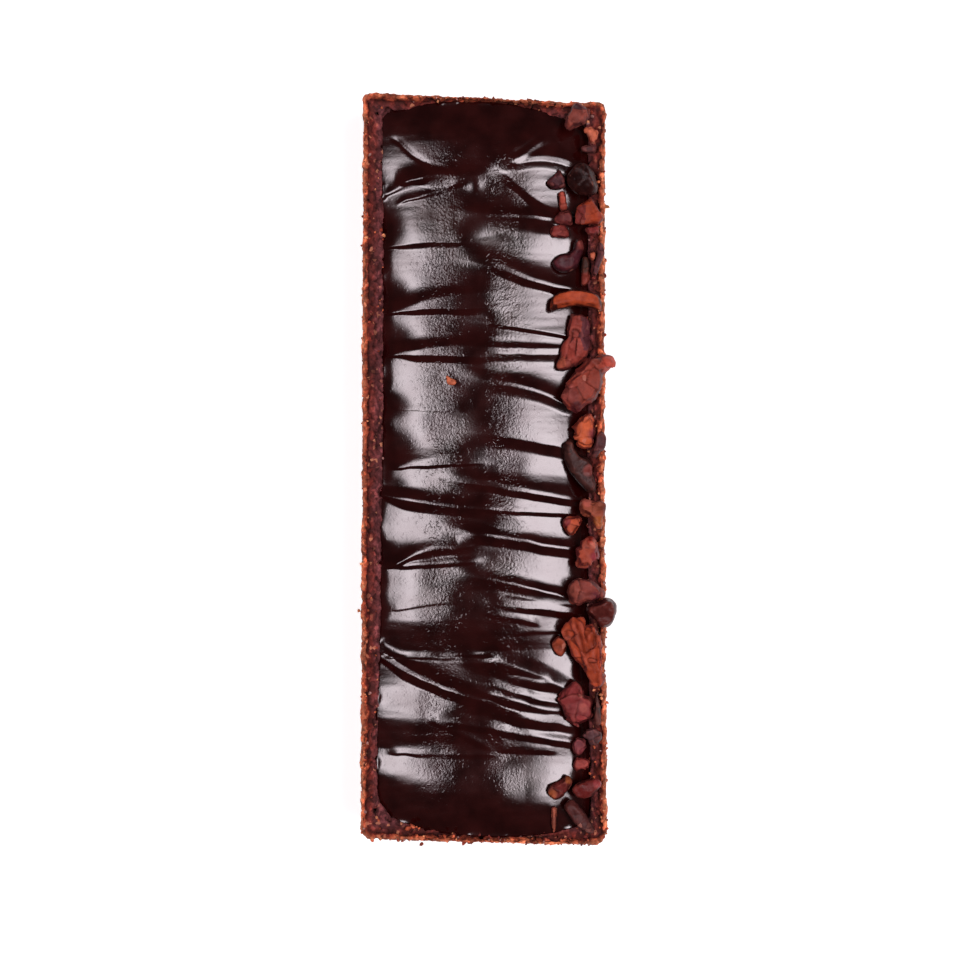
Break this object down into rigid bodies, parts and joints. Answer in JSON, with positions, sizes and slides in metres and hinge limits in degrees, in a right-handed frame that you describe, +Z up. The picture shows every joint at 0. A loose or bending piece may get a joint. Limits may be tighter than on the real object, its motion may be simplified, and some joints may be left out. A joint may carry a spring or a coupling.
{
  "type": "chocolate tart",
  "caption": "Rectangular individual tart: straight-sided cocoa pastry case filled to the rim with a knife-spread chocolate filling, cocoa nibs along one long side.",
  "frame": {"origin": "centre of the case's underside, on the surface that it stands on", "axes": "+Y along the tart's length, +X across it towards the side with the cocoa nibs, +Z up"},
  "size_m": [0.0407, 0.1204, 0.0247],
  "materials": {
    "crust": "matte baked cocoa pastry, crumbly, browned at the rim",
    "ganache": "glossy set dark chocolate with fine knife marks",
    "nib_orange": "rough broken roasted cocoa, light orange brown",
    "nib_red": "rough broken roasted cocoa, red brown",
    "nib_dark": "rough broken roasted cocoa, dark purple brown"
  },
  "bodies": {
    "root": {"crust": "crust", "filling": "ganache", "nib_01": "nib_red", "nib_02": "nib_orange", "nib_03": "nib_dark", "nib_04": "nib_dark", "nib_05": "nib_red", "nib_06": "nib_dark", "nib_07": "nib_red", "nib_08": "nib_orange", "nib_09": "nib_red", "nib_10": "nib_dark", "nib_11": "nib_dark", "nib_12": "nib_dark", "nib_13": "nib_orange", "nib_14": "nib_dark", "nib_15": "nib_orange", "nib_16": "nib_red", "nib_17": "nib_red", "nib_18": "nib_orange", "nib_19": "nib_dark", "nib_20": "nib_dark", "nib_21": "nib_red", "nib_22": "nib_orange", "nib_23": "nib_red", "nib_24": "nib_red", "nib_25": "nib_dark", "nib_26": "nib_orange", "nib_27": "nib_orange", "nib_28": "nib_red", "nib_29": "nib_dark", "nib_30": "nib_red", "nib_31": "nib_red", "nib_32": "nib_dark", "nib_33": "nib_red", "nib_34": "nib_dark", "nib_35": "nib_red", "nib_36": "nib_dark", "nib_37": "nib_orange"}
  },
  "joints": []
}
